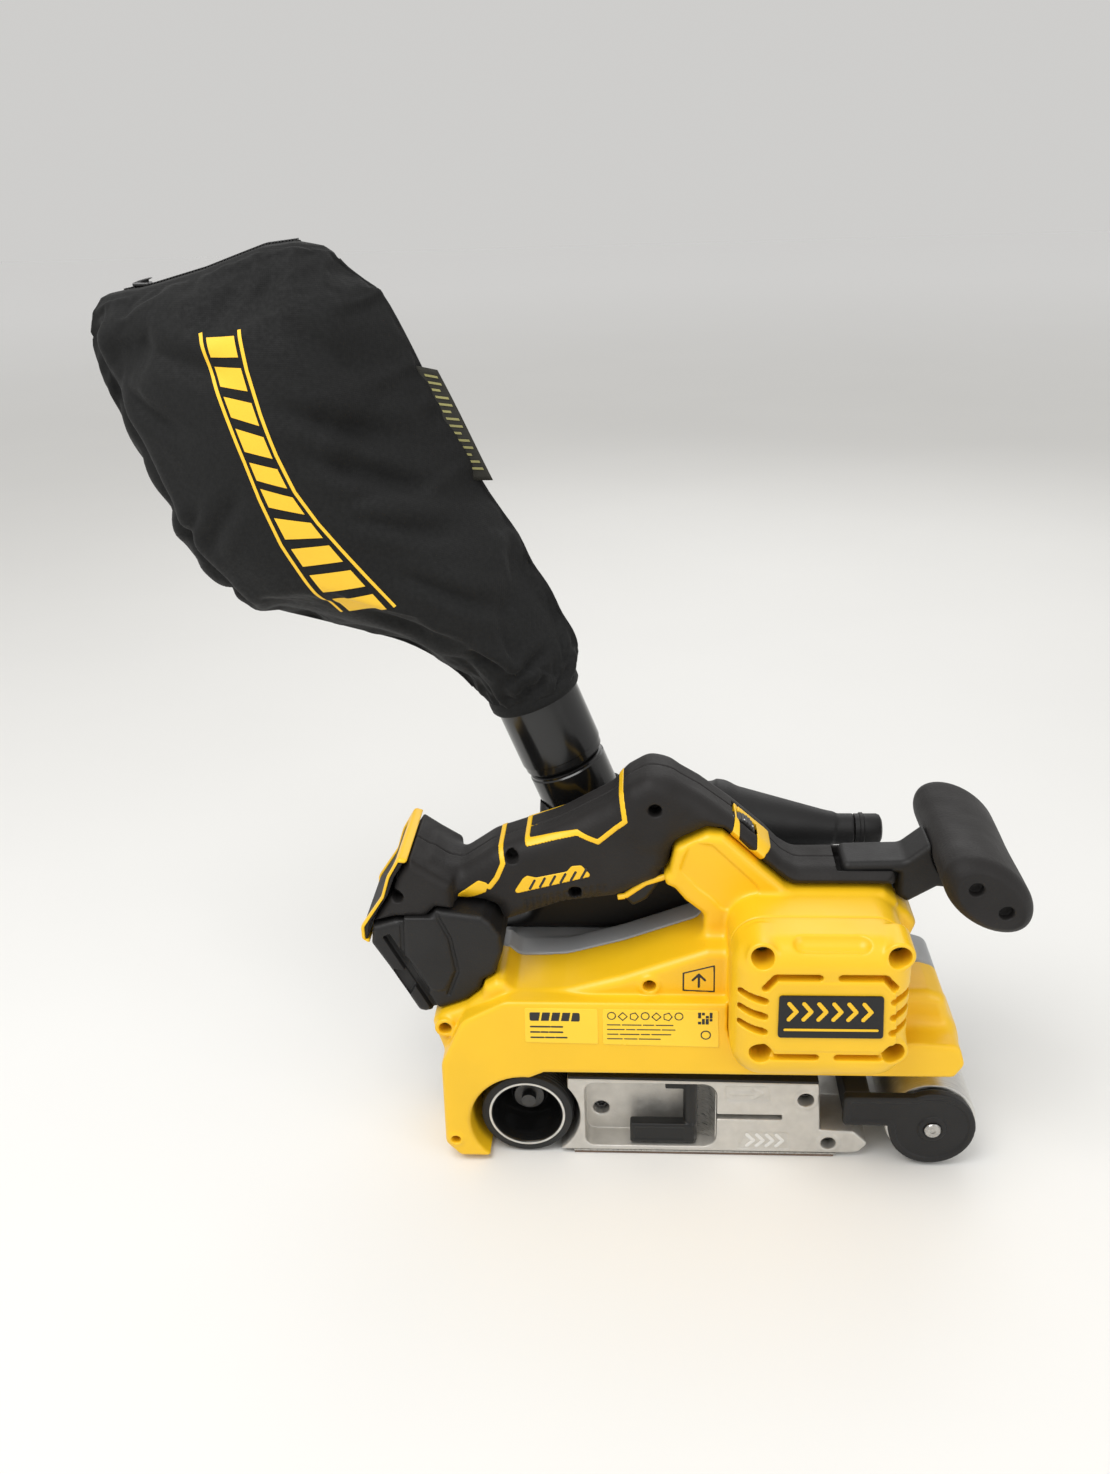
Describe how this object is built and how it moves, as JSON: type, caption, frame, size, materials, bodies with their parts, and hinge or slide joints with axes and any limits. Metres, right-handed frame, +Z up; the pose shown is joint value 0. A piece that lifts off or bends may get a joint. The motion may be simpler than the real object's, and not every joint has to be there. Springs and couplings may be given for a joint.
{
  "type": "belt sander",
  "caption": "Cordless hand-held belt sander with an open-sided belt frame, upright rear hand grip, transverse front grip, crosswise motor and a swivelling cloth dust bag.",
  "frame": {"origin": "on the sanding face of the platen, half way between the two roller axes and midway between the two sides of the belt", "axes": "+X forward to the front roller, +Y to the drive-belt side, +Z up from the sanding plane"},
  "size_m": [0.423, 0.154, 0.4277],
  "materials": {
    "yellow_plastic": "satin moulded",
    "black_plastic": "fine texture",
    "grip_rubber": "soft overmould",
    "gloss_black": "polished",
    "grey_plastic": "satin moulded",
    "cast_aluminium": "as cast, satin",
    "steel": "machined",
    "turned_aluminium": "turned",
    "tyre_rubber": "moulded",
    "platen_cork": "cork and graphite",
    "windings": "lacquered wire",
    "bag_cloth": "woven",
    "potting": "cast resin"
  },
  "bodies": {
    "tool": {"base_housing_right": "yellow_plastic", "drive_housing_left": "grey_plastic", "motor_cover": "yellow_plastic", "cover_screw_1": "steel", "cover_screw_2": "steel", "cover_screw_3": "steel", "cover_screw_4": "steel", "handle_shell_right": "grip_rubber", "handle_shell_left": "grip_rubber", "battery_foot": "black_plastic", "terminal_block": "black_plastic", "battery_rim": "yellow_plastic", "platen_frame": "cast_aluminium", "platen_shoe": "steel", "platen_pad": "platen_cork", "drum_bearing": "steel", "drive_belt": "tyre_rubber", "drive_belt_cover": "black_plastic", "motor_stator": "windings", "motor_bearing_right": "steel", "motor_bearing_left": "steel", "tension_spring": "steel", "trigger_pin": "steel", "trigger_spring": "steel", "switch_module": "potting", "dial_bezel": "yellow_plastic", "front_handle_pin": "steel", "dust_duct": "black_plastic", "duct_end_cap": "black_plastic", "dust_outlet": "gloss_black", "controller_module": "potting"},
    "drum": {"drive_roller": "turned_aluminium", "drive_tyre": "tyre_rubber", "drive_shaft": "steel", "drive_pulley": "steel"},
    "rotor": {"motor_rotor": "steel", "cooling_fan": "black_plastic", "dust_fan": "black_plastic", "motor_pinion": "steel"},
    "slider": {"tension_slider": "steel"},
    "lever": {"tension_lever": "black_plastic"},
    "yoke": {"idler_yoke": "black_plastic", "yoke_pin": "steel", "idler_axle": "steel"},
    "idler": {"idler_roller": "turned_aluminium", "idler_bearing_right": "steel", "idler_bearing_left": "steel"},
    "knob": {"tracking_knob": "black_plastic", "tracking_screw": "steel"},
    "finger_trigger": {"trigger": "black_plastic"},
    "lock": {"lock_button": "black_plastic"},
    "dial": {"speed_dial": "black_plastic"},
    "front_handle": {"front_handle_arm": "black_plastic", "front_grip": "grip_rubber"},
    "bag": {"bag_collar": "gloss_black", "dust_bag": "bag_cloth"},
    "zip": {"zip_slider": "steel"}
  },
  "joints": [
    {"name": "drum_spin", "type": "hinge", "parent": "tool", "child": "drum", "pos_m": [-0.098, 0, 0.0233], "axis": [0, 1, 0], "continuous": true},
    {"name": "motor_spin", "type": "hinge", "parent": "tool", "child": "rotor", "pos_m": [0.043, 0, 0.108], "axis": [0, 1, 0], "continuous": true},
    {"name": "tension_slide", "type": "slide", "parent": "tool", "child": "slider", "axis": [1, 0, 0], "range_m": [-0.008, 0], "deforming": ["tension_spring"]},
    {"name": "lever_swing", "type": "hinge", "parent": "tool", "child": "lever", "pos_m": [-0.017, -0.0325, 0.024], "axis": [0, 0, 1], "range_deg": [0, 95]},
    {"name": "yoke_tracking", "type": "hinge", "parent": "slider", "child": "yoke", "pos_m": [0.062, 0, 0.032], "axis": [0, 0, 1], "range_deg": [-1.5, 1.5]},
    {"name": "tracking_knob_turn", "type": "hinge", "parent": "tool", "child": "knob", "pos_m": [0.07, 0.044, 0.0635], "axis": [0, 1, 0], "range_deg": [-180, 180]},
    {"name": "idler_spin", "type": "hinge", "parent": "yoke", "child": "idler", "pos_m": [0.0995, 0, 0.0225], "axis": [0, 1, 0], "continuous": true},
    {"name": "trigger_pull", "type": "hinge", "parent": "tool", "child": "finger_trigger", "pos_m": [-0.034, 0, 0.1495], "axis": [0, 1, 0], "range_deg": [0, 7], "stiffness_Nm_per_rad": 0.6, "springref_deg": -5.73, "deforming": ["trigger_spring"]},
    {"name": "lock_button_press", "type": "slide", "parent": "tool", "child": "lock", "axis": [0, -1, 0], "range_m": [0, 0.003], "stiffness_N_per_m": 300, "springref_m": -0.001},
    {"name": "speed_dial_turn", "type": "hinge", "parent": "tool", "child": "dial", "pos_m": [0.0022, 0, 0.1634], "axis": [0, 1, 0], "range_deg": [-135, 135]},
    {"name": "front_handle_fold", "type": "hinge", "parent": "tool", "child": "front_handle", "pos_m": [0.06, 0, 0.1449], "axis": [0, 1, 0], "range_deg": [-25, 0]},
    {"name": "bag_swivel", "type": "hinge", "parent": "tool", "child": "bag", "pos_m": [-0.066, 0.045, 0.147], "axis": [-0.36, 0, 0.933], "range_deg": [-60, 60]},
    {"name": "zip_slide", "type": "slide", "parent": "bag", "child": "zip", "axis": [0.97, 0, 0.243], "range_m": [0, 0.03]}
  ],
  "couplings": [
    {"joint": "motor_spin", "follows": "drum_spin", "ratio": 2.5},
    {"joint": "lever_swing", "follows": "tension_slide", "rad_per_m": -207},
    {"joint": "tracking_knob_turn", "follows": "yoke_tracking", "ratio": 120}
  ]
}
